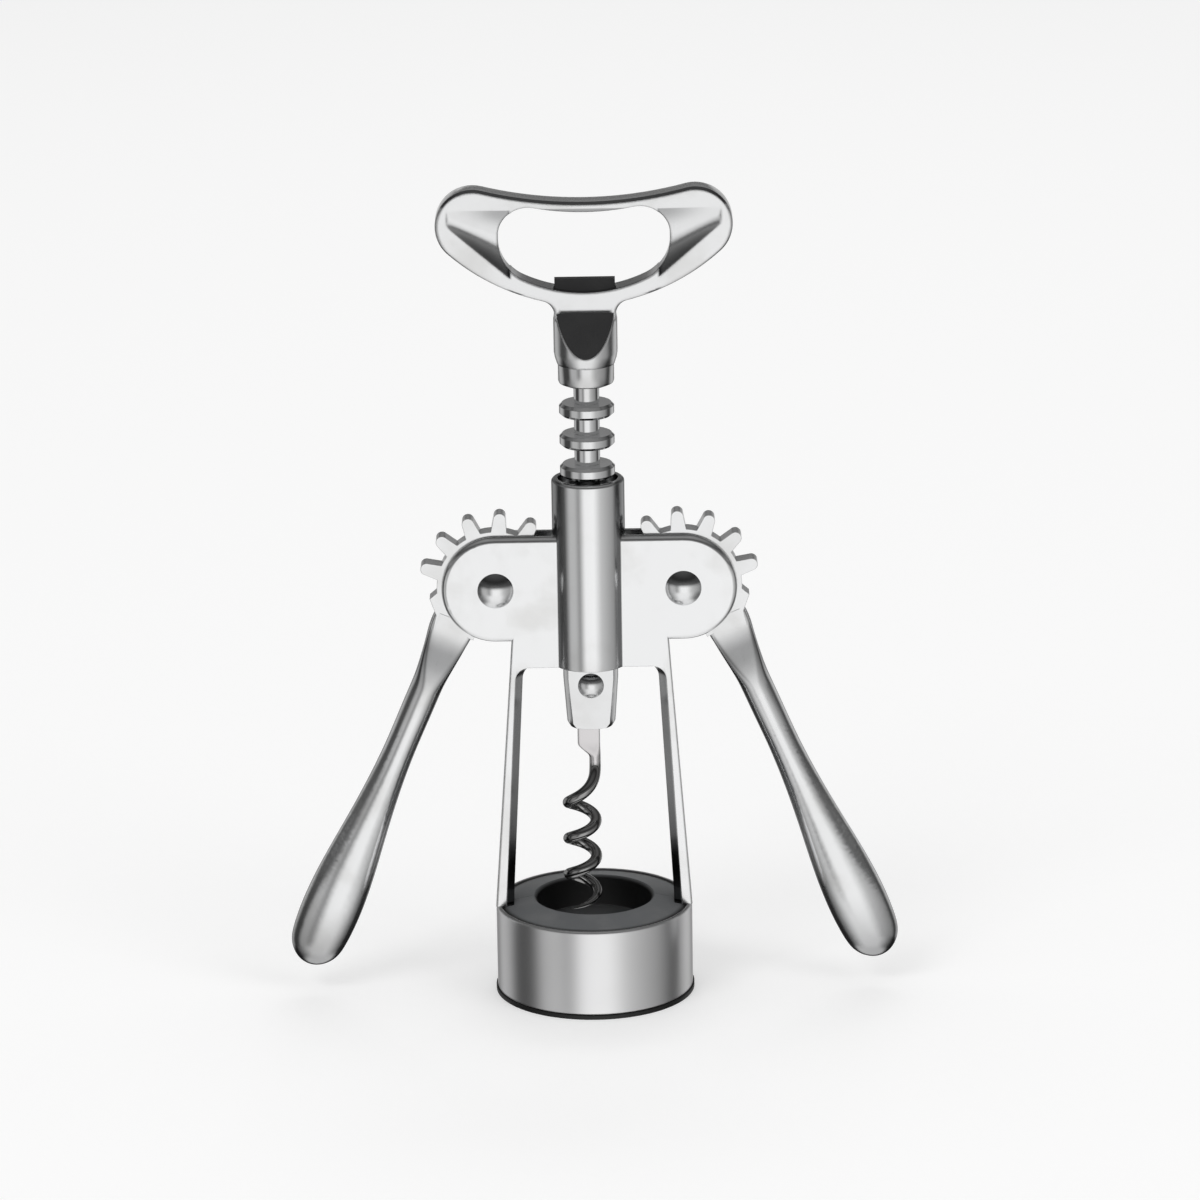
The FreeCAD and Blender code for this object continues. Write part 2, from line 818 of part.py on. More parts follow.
def handle():
    grip = plate(grip_outline(), grip_half_thickness)
    rim = [e for e in grip.Edges if abs(e.CenterOfMass.y) > grip_half_thickness - 0.01]
    rim = [e for e in rim if e.CenterOfMass.z > hub_shoulder + 1]
    grip = grip.makeFillet(grip_edge_radius, rim)
    grip = grip.cut(plate(eye_outline(), grip_half_thickness + 1))
    right_scoop = scoop()
    for cutter in (right_scoop, mirrored(right_scoop)):
        grip = grip.cut(cutter).cut(cutter.mirror(ORIGIN, Y_AXIS))
    casting = grip.fuse(hub())
    far = hub_radius + 2
    face = -grip_half_thickness
    front = [
        Vector(-far, -far, lifter_low),
        Vector(-far, -hub_radius, lifter_low),
        Vector(-far, face, lifter_high),
        Vector(-far, face, hub_top + 1),
        Vector(-far, -far, hub_top + 1),
    ]
    facet = Part.Face(Part.makePolygon(front + front[:1])).extrude(Vector(2 * far, 0, 0))
    casting = casting.cut(facet)
    for piece in lifter_blank(seat_gap):
        casting = casting.cut(piece)
    socket_length = shaft_top + seat_gap - hub_bottom + 1
    socket_foot = Vector(0, 0, hub_bottom - 1)
    socket = Part.makeCylinder(shaft_radius + press_gap, socket_length, socket_foot)
    return casting.cut(socket).removeSplitter()


# ---- every piece as its own file


def pieces():
    return {
        "yoke": yoke(),
        "base_band": base_band(),
        "guide_front": guide_half(-1),
        "guide_rear": guide_half(1),
        "pivot_left": pivot(-1),
        "pivot_right": pivot(1),
        "lever_left": lever(-1),
        "lever_right": lever(1),
        "rack_spindle": rack_spindle(),
        "worm": worm(),
        "worm_pin": worm_pin(),
        "collar": collar(),
        "handle": handle(),
        "cap_lifter": cap_lifter(),
    }


os.makedirs("parts", exist_ok=True)
for name, shape in pieces().items():
    solids = shape.Solids
    print(name, len(solids), "solid(s), valid", shape.isValid(), "volume", round(shape.Volume, 1))
    solid = solids[0] if len(solids) == 1 else Part.makeCompound(solids)
    solid.exportStep("parts/" + name + ".step")
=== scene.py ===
import json
import math
from collections import namedtuple

import bpy
from mathutils import Matrix, Vector


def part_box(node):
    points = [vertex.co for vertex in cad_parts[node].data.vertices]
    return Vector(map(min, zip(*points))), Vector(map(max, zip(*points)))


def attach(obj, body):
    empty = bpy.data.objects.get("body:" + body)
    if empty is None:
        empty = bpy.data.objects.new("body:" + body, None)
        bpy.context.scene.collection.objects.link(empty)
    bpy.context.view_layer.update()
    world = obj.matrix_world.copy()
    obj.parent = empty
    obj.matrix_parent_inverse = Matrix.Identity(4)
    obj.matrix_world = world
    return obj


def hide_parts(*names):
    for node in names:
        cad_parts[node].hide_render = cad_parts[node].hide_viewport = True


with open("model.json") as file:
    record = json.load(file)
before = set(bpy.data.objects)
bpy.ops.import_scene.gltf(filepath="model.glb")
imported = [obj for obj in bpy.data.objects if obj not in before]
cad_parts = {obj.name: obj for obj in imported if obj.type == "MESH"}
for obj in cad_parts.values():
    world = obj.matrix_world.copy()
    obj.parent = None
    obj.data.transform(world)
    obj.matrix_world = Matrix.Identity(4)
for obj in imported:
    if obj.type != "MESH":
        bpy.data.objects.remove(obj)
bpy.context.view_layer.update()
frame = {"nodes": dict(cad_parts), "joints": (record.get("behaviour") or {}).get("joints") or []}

# Wing corkscrew. Metres, +Z up, the front faces -Y.

joints = {joint["name"]: joint for joint in frame["joints"]}
PIVOT_X, _, PIVOT_Z = joints["right_swing"]["pos_m"]
pin_low, pin_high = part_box("worm_pin")
WORM_PIN_Z = (pin_low.z + pin_high.z) / 2
SHANK_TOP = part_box("worm")[1].z
ARM_ANGLE = math.radians(23.5)  # each arm, out from straight down


# ---- shader maths


class Wire:
    """A node's output that can be used in Python arithmetic."""

    def __init__(self, tree, socket):
        self.tree = tree
        self.socket = socket

    def calculate(self, operation, *values):
        node = self.tree.add("ShaderNodeMath", {"operation": operation}, dict(enumerate(values)))
        return Wire(self.tree, node.outputs[0])

    def __add__(self, other):
        return self.calculate("ADD", self, other)

    __radd__ = __add__

    def __sub__(self, other):
        return self.calculate("SUBTRACT", self, other)

    def __rsub__(self, other):
        return self.calculate("SUBTRACT", other, self)

    def __mul__(self, other):
        return self.calculate("MULTIPLY", self, other)

    __rmul__ = __mul__

    def __truediv__(self, other):
        return self.calculate("DIVIDE", self, other)

    def root(self):
        return self.calculate("SQRT", self)

    def size(self):
        return self.calculate("ABSOLUTE", self)

    def over(self, low, high):
        """0 at low, 1 at high, smooth in between. Low may be the larger of the two."""
        values = {"Value": self, "From Min": low, "From Max": high}
        node = self.tree.add("ShaderNodeMapRange", {"interpolation_type": "SMOOTHSTEP"}, values)
        return Wire(self.tree, node.outputs[0])


Spot = namedtuple("Spot", "x y z")  # a point on a piece, as three wires

MIX_FIRST = 6  # the colour sockets of a Mix node
MIX_SECOND = 7
MIX_RESULT = 2


class Tree:
    """Adds nodes to the node tree of a material, the world or a modifier."""

    def __init__(self, node_tree):
        self.nodes = node_tree.nodes
        self.links = node_tree.links
        self.nodes.clear()

    def add(self, kind, settings=None, values=None):
        """A new node: its settings first, then the value or link of each socket."""
        node = self.nodes.new(kind)
        for key, value in (settings or {}).items():
            if key == "stops":
                self.set_stops(node.color_ramp, value)
            else:
                setattr(node, key, value)
        for key, value in (values or {}).items():
            if isinstance(value, Wire):
                self.links.new(value.socket, node.inputs[key])
            else:
                node.inputs[key].default_value = value
        return node

    def set_stops(self, ramp, stops):
        while len(ramp.elements) < len(stops):
            ramp.elements.new(1.0)
        for element, (position, grey) in zip(ramp.elements, stops):
            element.position = position
            element.color = (grey, grey, grey, 1.0)

    def out(self, node, name=0):
        return Wire(self, node.outputs[name])

    def place(self, stretch=(1.0, 1.0, 1.0)):
        """The point on the piece, stretched for patterns that run one way."""
        coordinates = self.add("ShaderNodeTexCoord")
        values = {"Vector": self.out(coordinates, "Object"), "Scale": stretch}
        return self.out(self.add("ShaderNodeMapping", None, values), "Vector")

    def spot(self):
        node = self.add("ShaderNodeSeparateXYZ", None, {0: self.place()})
        return Spot(*(self.out(node, axis) for axis in "XYZ"))

    def noise(self, scale, detail, stretch=(1.0, 1.0, 1.0)):
        values = {"Vector": self.place(stretch), "Scale": scale, "Detail": detail}
        return self.out(self.add("ShaderNodeTexNoise", None, values), "Fac")

    def mix(self, share, first, second):
        """Turns the first colour, or wire, into the second by a share from 0 to 1."""
        ends = [end if isinstance(end, Wire) else (*end, 1.0) for end in (first, second)]
        values = {"Factor": share, MIX_FIRST: ends[0], MIX_SECOND: ends[1]}
        return self.out(self.add("ShaderNodeMix", {"data_type": "RGBA"}, values), MIX_RESULT)


# ---- finishes

# The colour of painted shade and dark reflections on the chrome.
PAINTED_SHADE_COLOUR = (0.1, 0.102, 0.105)
BRIGHT_TINT = (1.0, 1.005, 1.01)
DULL_TINT = (0.9, 0.9, 0.895)
BEVEL_SAMPLES = 6


def new_material(name):
    material = bpy.data.materials.new(name)
    material.use_nodes = True
    return material, Tree(material.node_tree)


def add_surface(tree, values, relief, depth, edge):
    """The shader, its relief of that depth and its edges, eased over that radius."""
    eased = tree.add("ShaderNodeBevel", {"samples": BEVEL_SAMPLES}, {"Radius": edge})
    raised = {"Height": relief, "Strength": 1.0, "Distance": depth, "Normal": tree.out(eased)}
    bump = tree.add("ShaderNodeBump", None, raised)
    shader = tree.add("ShaderNodeBsdfPrincipled", None, {**values, "Normal": tree.out(bump)})
    tree.add("ShaderNodeOutputMaterial", None, {"Surface": tree.out(shader)})


def chrome(name, level, roughness, edge=0.00025, hairline=(1, 1, 1), painted_shade=None):
    """Plated metal: a slight ripple, fine hairlines and a few duller handled patches.

    level is its brightness. Its shade function makes a mask from a spot on the piece, where
    shade and dark reflections are painted into the colour.
    """
    material, tree = new_material(name)
    patches = tree.noise(scale=90.0, detail=4.0).over(0.45, 0.72)
    hairs = tree.noise(scale=2600.0, detail=2.0, stretch=hairline)
    waves = tree.noise(scale=140.0, detail=2.0)
    bright = [level * share for share in BRIGHT_TINT]
    dull = [level * share for share in DULL_TINT]
    paint = tree.mix(patches, bright, dull)
    # Painted shade and dark reflections, mixed in where the shade function's mask says.
    if painted_shade:
        paint = tree.mix(painted_shade(tree.spot()), paint, PAINTED_SHADE_COLOUR)
    values = {
        "Base Color": paint,
        "Metallic": 1.0,
        "Roughness": roughness + 0.04 * patches + 0.04 * hairs,
    }
    add_surface(tree, values, relief=waves + 0.12 * hairs, depth=0.000003, edge=edge)
    return material


def brushed(name, bright, dull, roughness):
    """Sheet steel brushed around its rim."""
    material, tree = new_material(name)
    lines = tree.noise(scale=60.0, detail=5.0, stretch=(1.0, 1.0, 90.0))
    smudges = tree.noise(scale=70.0, detail=3.0).over(0.4, 0.75)
    values = {
        "Base Color": tree.mix(smudges, bright, dull),
        "Metallic": 1.0,
        "Roughness": roughness + 0.03 * lines + 0.01 * smudges,
    }
    add_surface(tree, values, relief=lines, depth=0.0000003, edge=0.0004)
    return material


# A stretch of a moulding where shade is painted into its colour. measure is "round", out from the
# spindle's axis, or "height"; the colour changes from start to end.
ShadeZone = namedtuple("ShadeZone", "measure start end colour")


def from_axis(spot):
    return (spot.x * spot.x + spot.y * spot.y).root()


def moulded(name, colour, rubbed, roughness, shade_zones=()):
    """Hard plastic with a fine spark-eroded grain and paler, rubbed high spots."""
    material, tree = new_material(name)
    grain = tree.noise(scale=5200.0, detail=2.0)
    flow = tree.noise(scale=160.0, detail=4.0).over(0.4, 0.8)
    paint = tree.mix(flow, colour, rubbed)
    spot = tree.spot()
    # Painted shade: each zone darkens the colour where shade falls.
    for zone in shade_zones:
        where = from_axis(spot) if zone.measure == "round" else spot.z
        paint = tree.mix(where.over(zone.start, zone.end), paint, zone.colour)
    values = {"Base Color": paint, "Roughness": roughness + 0.16 * grain + 0.06 * flow}
    add_surface(tree, values, relief=grain, depth=0.00003, edge=0.00025)
    return material


def worm_steel(wire_colour, shank_colour, shank_foot):
    """Dark hardened wire under a paler ground shank, with fine draw marks."""
    material, tree = new_material("worm_steel")
    draw_marks = tree.noise(scale=900.0, detail=3.0)
    shank = tree.spot().z.over(*shank_foot)
    values = {
        "Base Color": tree.mix(shank, wire_colour, shank_colour),
        "Metallic": 1.0,
        "Roughness": 0.03 + 0.03 * draw_marks + 0.2 * shank,
    }
    add_surface(tree, values, relief=draw_marks, depth=0.000006, edge=0.00012)
    return material


# ---- painted shade in the castings
#
# A pair of heights or distances says where the painted shade is clear and where it is full,
# and a strength is how much of it shows there.

WINDOW_TOP = 0.0729
WINDOW_HALF_WIDTH = 0.01425  # at its top
LEG_LEAN = 0.0553  # outwards, for each metre down
LEG_SKIN = (0.0016, 0.0013)  # behind the face of the leg's inner wall
WINDOW_CORNER = (WINDOW_TOP, 0.0700)
LEG_DEEPENS = (0.050, 0.024)
LEG_STRENGTH = 0.55
LEG_LOW_STRENGTH = 0.45  # what is added near the base
BARREL_FLANK = (0.0051, 0.0062)
BARREL_FOOT = (0.0722, 0.0732)
EAR_START = (0.0066, 0.0069)
EAR_TOP = (0.1017, 0.1010)
FLANK_STRENGTH = 0.68


def yoke_painted_shade(spot):
    """Painted shade and dark reflections on the legs' inner walls, deepest near the base, and on
    the flanks of the barrel.
    """
    out = spot.x.size()
    wall = WINDOW_HALF_WIDTH + LEG_LEAN * (WINDOW_TOP - spot.z)
    inside = (out - wall).over(*LEG_SKIN) * spot.z.over(*WINDOW_CORNER)
    ear = out.over(*EAR_START) * spot.z.over(*EAR_TOP)
    flank = out.over(*BARREL_FLANK) * spot.z.over(*BARREL_FOOT) * (1 - ear)
    inside = inside * (LEG_STRENGTH + LEG_LOW_STRENGTH * spot.z.over(*LEG_DEEPENS))
    return inside + FLANK_STRENGTH * flank


BELOW_RIVETS = (0.080, 0.076)
HEAD_TOP_HALF = (0.0002, 0.0016)
RIVET_RAISE = 0.0002  # the tone starts this much higher on the big rivets
RIVET_STRENGTH = 0.8


def rivet_painted_shade(spot):
    """Painted dark reflection on the upper half of each domed head, on the rivets and on the
    worm's pin.
    """
    low = spot.z.over(*BELOW_RIVETS)
    middle = PIVOT_Z - (PIVOT_Z - WORM_PIN_Z) * low
    above = spot.z - middle - RIVET_RAISE * (1 - low)
    return RIVET_STRENGTH * above.over(*HEAD_TOP_HALF)


GRIP_RIM = (0.00299, 0.0029)  # inwards from the grip's flat faces
GRIP_EDGE = (0.0018, 0.0025)
GRIP_TOP = (0.1722, 0.1728)
GRIP_STRENGTH = 0.85
EYE_FLOOR_END = (0.0165, 0.0150)
EYE_FLOOR_TOP = (0.1625, 0.1605)
EYE_FLOOR_FOOT = (0.1536, 0.1539)
EYE_FLOOR_STRENGTH = 0.45
EYE_LINE_STRENGTH = 0.4  # what is added along the floor's edges
LIP_END = (0.0125, 0.0095)
LIP_TOP = (0.1721, 0.1718)
LIP_FOOT = (0.1700, 0.1705)
LIP_STRENGTH = 0.6
SCOOP_TOP = 0.1719
SCOOP_LOW = 0.1572  # its lower corner, beside the eye
SCOOP_LOW_OUT = 0.0155
SCOOP_SLOPE = 0.8605  # of its lower edge
SCOOP_INNER = (0.0150, 0.0156)
SCOOP_OUTER = (0.0284, 0.0276)
# These are shares of a scoop's own height.
SCOOP_FOOT = (0.0, 0.02)
SCOOP_HEAD = (1.0, 0.98)
SCOOP_BROW = (0.60, 0.96)
SCOOP_SHADOW = (0.46, 0.0)
# These are distances from the spindle's axis.
SCOOP_BROW_END = (0.0270, 0.0165)
SCOOP_SHADOW_END = (0.0290, 0.0190)
SCOOP_STRENGTH = 0.5


def grip_painted_shade(spot):
    """Painted shade: dark lines along the grip's top edges, its eye's floor and the lip over the
    eye, and shading in the scoops.
    """
    out = spot.x.size()
    side = spot.y.size()
    rim = side.over(*GRIP_RIM)
    line = rim * side.over(*GRIP_EDGE)
    top = line * spot.z.over(*GRIP_TOP)
    floor = out.over(*EYE_FLOOR_END) * spot.z.over(*EYE_FLOOR_TOP) * spot.z.over(*EYE_FLOOR_FOOT)
    lip = out.over(*LIP_END) * spot.z.over(*LIP_TOP) * spot.z.over(*LIP_FOOT)
    scoop_low = SCOOP_LOW + SCOOP_SLOPE * (out - SCOOP_LOW_OUT)
    rise = (spot.z - scoop_low) / (SCOOP_TOP - scoop_low)
    scoop = out.over(*SCOOP_INNER) * out.over(*SCOOP_OUTER)
    scoop = scoop * rise.over(*SCOOP_FOOT) * rise.over(*SCOOP_HEAD)
    brow = rise.over(*SCOOP_BROW) * out.over(*SCOOP_BROW_END)
    shadow = rise.over(*SCOOP_SHADOW) * out.over(*SCOOP_SHADOW_END)
    floor = floor * (EYE_FLOOR_STRENGTH * rim + EYE_LINE_STRENGTH * line)
    edges = GRIP_STRENGTH * top + floor + LIP_STRENGTH * lip * (1 - rim)
    return edges + SCOOP_STRENGTH * scoop * (brow + shadow)


ARM_ROOT_START = (0.0120, 0.0178)  # along the arm, from the pivot
ARM_ROOT_END = (0.029, 0.0192)
ARM_TIP = (0.076, 0.0955)
ARM_ROOT_STRENGTH = 0.64
ARM_TIP_STRENGTH = 0.55


def arm_painted_shade(spot):
    """Painted shade at the arm's root and its tip."""
    out = spot.x.size() - PIVOT_X
    along = out * math.sin(ARM_ANGLE) - (spot.z - PIVOT_Z) * math.cos(ARM_ANGLE)
    root = along.over(*ARM_ROOT_START) * along.over(*ARM_ROOT_END)
    return ARM_ROOT_STRENGTH * root + ARM_TIP_STRENGTH * along.over(*ARM_TIP)


# ---- each piece's finish

# Painted shade on the guide: in its throat, in the gap at its outer edge and along its foot.
guide_shade_zones = (
    ShadeZone("round", start=0.0131, end=0.0123, colour=(0.004, 0.004, 0.004)),  # the throat
    ShadeZone("round", start=0.0186, end=0.0199, colour=(0.012, 0.012, 0.012)),  # the outer edge
    ShadeZone("height", start=0.0022, end=0.0016, colour=(0.006, 0.006, 0.006)),  # the foot
)
finishes = {
    "yoke": chrome("cast_yoke_chrome", level=0.9, roughness=0.15, painted_shade=yoke_painted_shade),
    "handle": chrome(
        "cast_handle_chrome", level=0.84, roughness=0.17, edge=0.0008, painted_shade=grip_painted_shade
    ),
    "lever_left": chrome(
        "lever_chrome", level=0.86, roughness=0.16, edge=0.00022, painted_shade=arm_painted_shade
    ),
    "rack_spindle": chrome(
        "spindle_chrome", level=0.82, roughness=0.06, edge=0.00015, hairline=(1, 1, 6)
    ),
    "collar": chrome(
        "collar_chrome", level=0.78, roughness=0.12, edge=0.0002, hairline=(1, 1, 6)
    ),
    "pivot_left": chrome(
        "rivet_chrome", level=0.9, roughness=0.2, edge=0.0001, painted_shade=rivet_painted_shade
    ),
    "worm": worm_steel(
        wire_colour=(0.34, 0.338, 0.335),
        shank_colour=(0.74, 0.72, 0.725),
        shank_foot=(0.0499, 0.0509),
    ),
    "base_band": brushed(
        "band_steel", bright=(0.88, 0.88, 0.885), dull=(0.86, 0.86, 0.86), roughness=0.27
    ),
    "guide_front": moulded(
        "guide_plastic",
        colour=(0.13, 0.135, 0.14),
        rubbed=(0.165, 0.168, 0.17),
        roughness=0.36,
        shade_zones=guide_shade_zones,
    ),
    "cap_lifter": moulded(
        "insert_plastic",
        colour=(0.026, 0.026, 0.027),
        rubbed=(0.034, 0.034, 0.034),
        roughness=0.42,
    ),
}
shared = {
    "lever_right": "lever_left",
    "pivot_right": "pivot_left",
    "worm_pin": "pivot_left",
    "guide_rear": "guide_front",
}


# ---- smooth shading across each piece's curved faces

CORNER_ANGLE = math.radians(24)  # where two faces meet at more than this, the corner is crisp
WELD_DISTANCE = 0.000002


def shading_tree():
    """Joins the facets of a surface and keeps its corners crisp."""
    group = bpy.data.node_groups.new("crisp_corners", "GeometryNodeTree")
    add_socket = group.interface.new_socket
    add_socket("Geometry", in_out="INPUT", socket_type="NodeSocketGeometry")
    corner = add_socket("Corner angle", in_out="INPUT", socket_type="NodeSocketFloat")
    corner.default_value = CORNER_ANGLE
    add_socket("Geometry", in_out="OUTPUT", socket_type="NodeSocketGeometry")
    tree = Tree(group)
    inputs = tree.add("NodeGroupInput")
    values = {"Geometry": tree.out(inputs, "Geometry"), "Distance": WELD_DISTANCE}
    weld = tree.add("GeometryNodeMergeByDistance", None, values)
    values = {"Geometry": tree.out(weld, "Geometry")}
    faces = tree.add("GeometryNodeSetShadeSmooth", {"domain": "FACE"}, values)
    edge = tree.add("GeometryNodeInputMeshEdgeAngle")
    settings = {"data_type": "FLOAT", "operation": "LESS_THAN"}
    values = {0: tree.out(edge, "Unsigned Angle"), 1: tree.out(inputs, "Corner angle")}
    flatter = tree.add("FunctionNodeCompare", settings, values)
    values = {"Geometry": tree.out(faces, "Geometry"), "Shade Smooth": tree.out(flatter, "Result")}
    edges = tree.add("GeometryNodeSetShadeSmooth", {"domain": "EDGE"}, values)
    tree.add("NodeGroupOutput", None, {"Geometry": tree.out(edges, "Geometry")})
    return group


crisp_corners = shading_tree()
for name, piece in frame["nodes"].items():
    modifier = piece.modifiers.new("crisp_corners", "NODES")
    modifier.node_group = crisp_corners
    piece.data.materials.clear()
    piece.data.materials.append(finishes[shared.get(name, name)])


# ---- swept pieces

ROUND = 2  # an oval's squareness: 2 is round, and more has squarer corners
SHARP_ANGLE = math.radians(50)
DOWN = Vector((0, 0, -1))

# One oval of a swept piece, from its centre to its sides.
Oval = namedtuple("Oval", "centre width depth squareness")


def ease(value, start, end):
    share = min(max((value - start) / (end - start), 0.0), 1.0)
    return share * share * (3 - 2 * share)


def swept_mesh(name, ovals, sides, level=0):
    """A closed skin round a path of ovals, turned as little as possible on the way.

    The first oval's width runs along X. The first few, as many as level says, lie flat.
    """
    points = []
    faces = []
    across = Vector((1, 0, 0))
    for index, oval in enumerate(ovals):
        power = 2 / oval.squareness
        before = ovals[max(index - 1, 0)].centre
        after = ovals[min(index + 1, len(ovals) - 1)].centre
        along = DOWN if index < level else (after - before).normalized()
        across = (across - along * across.dot(along)).normalized()
        aside = along.cross(across)
        for i in range(sides):
            angle = 2 * math.pi * i / sides
            u = math.copysign(abs(math.cos(angle)) ** power, math.cos(angle))
            v = math.copysign(abs(math.sin(angle)) ** power, math.sin(angle))
            points.append(oval.centre + across * u * oval.width + aside * v * oval.depth)
    for ring in range(len(ovals) - 1):
        for i in range(sides):
            j = (i + 1) % sides
            low = ring * sides
            high = low + sides
            faces.append((low + i, low + j, high + j, high + i))
    last = (len(ovals) - 1) * sides
    faces.append(tuple(reversed(range(sides))))
    faces.append(tuple(range(last, last + sides)))
    mesh = bpy.data.meshes.new(name)
    mesh.from_pydata(points, [], faces)
    for face in mesh.polygons:
        face.use_smooth = True
    mesh.set_sharp_from_angle(angle=SHARP_ANGLE)
    return mesh


def add_object(name, mesh, material):
    mesh.materials.append(material)
    thing = bpy.data.objects.new(name, mesh)
    bpy.context.scene.collection.objects.link(thing)
    return thing


def add_piece(name, mesh, finish, body):
    piece = add_object(name, mesh, finishes[finish])
    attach(piece, body)
    return piece


# ---- worm: a flat shank that turns into a wire, coils down and ends in a point

WIRE_RADIUS = 0.00122
WIRE_SIDES = 28
COIL_RADIUS = 0.00293
COIL_X = -0.0023
COIL_RISE = 0.00805 / (2 * math.pi)  # for each radian
COIL_TURN = 21.23  # radians from the stem to the point
COIL_STEPS = 120
HALF_TURN_Z = 0.041575  # where the lead-in ends

LEAD_STEPS = 28  # the lead-in is the first half turn, under the stem
LEAD_POWER = 1.6  # it starts to turn slowly
LEAD_DROP = 0.0072  # over the half turn
LEAD_STEEPER = 0.0017  # what the steeper start adds

POINT_TURN = 4.2  # radians over which the wire tapers
POINT_SIZE = 0.1  # as a share of the wire's
POINT_OUTWARDS = 0.6  # how far the taper keeps to the coil's outside

SHANK_HALF_WIDTH = 0.002375
SHANK_HALF_DEPTH = 0.00065
SHANK_RIGHT = 0.00175
SHANK_CORNERS = 6  # squareness, over round
SHANK_HEIGHTS = [SHANK_TOP, 0.068, 0.064, 0.060, 0.057, 0.0556]
NECK_TOP = 0.0550  # down the neck the shank narrows to the wire
NECK_FOOT = 0.0518
NECK_STEPS = 12
STEM_HEIGHTS = [0.0513, 0.0508]
THINNING = (0.0508, 0.0560)  # up this stretch the wire flattens to the shank


def shank_ovals():
    """Down the shank and its neck to the top of the wire."""
    neck = [NECK_TOP - (NECK_TOP - NECK_FOOT) * i / NECK_STEPS for i in range(NECK_STEPS + 1)]
    stem_right = COIL_X + COIL_RADIUS + WIRE_RADIUS
    ovals = []
    for z in SHANK_HEIGHTS + neck + STEM_HEIGHTS:
        flat = ease(z, NECK_FOOT, NECK_TOP)
        width = WIRE_RADIUS + (SHANK_HALF_WIDTH - WIRE_RADIUS) * flat
        depth = WIRE_RADIUS + (SHANK_HALF_DEPTH - WIRE_RADIUS) * ease(z, *THINNING)
        right = stem_right + (SHANK_RIGHT - stem_right) * flat
        centre = Vector((right - width, 0, z))
        ovals.append(Oval(centre, width, depth, ROUND + SHANK_CORNERS * flat))
    return ovals


def coil_ovals():
    """The lead-in half turn, the even coil and the tapering point."""
    turns = []
    for i in range(LEAD_STEPS):
        share = i / LEAD_STEPS
        z = HALF_TURN_Z + LEAD_DROP * (1 - share) + LEAD_STEEPER * (1 - share) ** 2
        turns.append((math.pi * share**LEAD_POWER, z))
    for i in range(COIL_STEPS + 1):
        turn = math.pi + (COIL_TURN - math.pi) * i / COIL_STEPS
        turns.append((turn, HALF_TURN_Z - COIL_RISE * (turn - math.pi)))
    ovals = []
    for turn, z in turns:
        left = min((COIL_TURN - turn) / POINT_TURN, 1.0)
        size = WIRE_RADIUS * (POINT_SIZE + (1 - POINT_SIZE) * math.sin(math.pi / 2 * left))
        radius = COIL_RADIUS + POINT_OUTWARDS * (WIRE_RADIUS - size)
        centre = Vector((COIL_X + radius * math.cos(turn), -radius * math.sin(turn), z))
        ovals.append(Oval(centre, size, size, ROUND))
    return ovals


shank = shank_ovals()
worm_mesh = swept_mesh("wound_worm", shank + coil_ovals(), WIRE_SIDES, level=len(shank))
worm = add_piece("wound_worm", worm_mesh, "worm", "screw")
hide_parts("worm")


# ---- lever roots: the soft flare between each flat gear and its round arm

ARM_OFFSET = 0.0051  # from the pivot to the arm's middle line
ROOT_START = 0.0095  # along the arm, from the pivot
ROOT_END = 0.040
ROOT_STEPS = 40
ROOT_SIDES = 48
ROOT_WIDTH = 0.0066
ROOT_FLARE = 0.0026  # how much wider it is beside the gear
ROOT_THICKNESS = 0.0036
ROOT_SWELL = 0.0034  # how much thicker it is where the arm is round
LEAST_THICKNESS = 0.00412  # just over the gear's
SWELL_END = 0.026
ROOT_CORNERS = 5  # squareness, over round
CORNERS_FADE = (0.012, 0.027)
PROUD = 0.00006  # over the arm; at the arm's end it is sunk by as much
SINK_START = 0.030


def root_ovals(side):
    """Nearly square beside the gear, and oval where it sinks into the arm."""
    along_x = side * math.sin(ARM_ANGLE)
    along_z = -math.cos(ARM_ANGLE)
    ovals = []
    for i in range(ROOT_STEPS + 1):
        along = ROOT_START + (ROOT_END - ROOT_START) * i / ROOT_STEPS
        swell = ease(along, ROOT_START, SWELL_END)
        proud = PROUD * (1 - 2 * ease(along, SINK_START, ROOT_END))
        width = ROOT_WIDTH + ROOT_FLARE * (1 - swell) + proud
        depth = max(ROOT_THICKNESS + ROOT_SWELL * swell + proud, LEAST_THICKNESS)
        square = ROUND + ROOT_CORNERS * (1 - ease(along, *CORNERS_FADE))
        x = side * PIVOT_X + along * along_x - side * ARM_OFFSET * along_z
        z = PIVOT_Z + along * along_z + ARM_OFFSET * math.sin(ARM_ANGLE)
        ovals.append(Oval(Vector((x, 0, z)), width / 2, depth / 2, square))
    return ovals


for side, hand in ((-1, "left"), (1, "right")):
    mesh = swept_mesh("lever_root_" + hand, root_ovals(side), ROOT_SIDES)
    add_piece("lever_root_" + hand, mesh, "lever_left", hand + "_wing")


# ---- floor

FLOOR_RADIUS = 6.0
FLOOR_SIDES = 96
FLOOR_COLOUR = (0.8, 0.8, 0.8, 1.0)
FLOOR_GLOW = 0.3  # what it adds for the camera alone


def floor_material():
    """A pale floor that keeps a soft shadow."""
    material, tree = new_material("pale_floor")
    rays = tree.add("ShaderNodeLightPath")
    cloth = tree.add("ShaderNodeBsdfDiffuse", None, {"Color": FLOOR_COLOUR})
    strength = FLOOR_GLOW * tree.out(rays, "Is Camera Ray")
    glow = tree.add("ShaderNodeEmission", None, {"Strength": strength})
    both = tree.add("ShaderNodeAddShader", None, {0: tree.out(cloth), 1: tree.out(glow)})
    tree.add("ShaderNodeOutputMaterial", None, {"Surface": tree.out(both)})
    return material


def round_floor():
    points = []
    for i in range(FLOOR_SIDES):
        angle = i * (2 * math.pi / FLOOR_SIDES)
        points.append((FLOOR_RADIUS * math.cos(angle), FLOOR_RADIUS * math.sin(angle), 0))
    mesh = bpy.data.meshes.new("floor")
    mesh.from_pydata(points, [], [tuple(range(FLOOR_SIDES))])
    return add_object("floor", mesh, floor_material())


floor = round_floor()
floor.visible_glossy = False


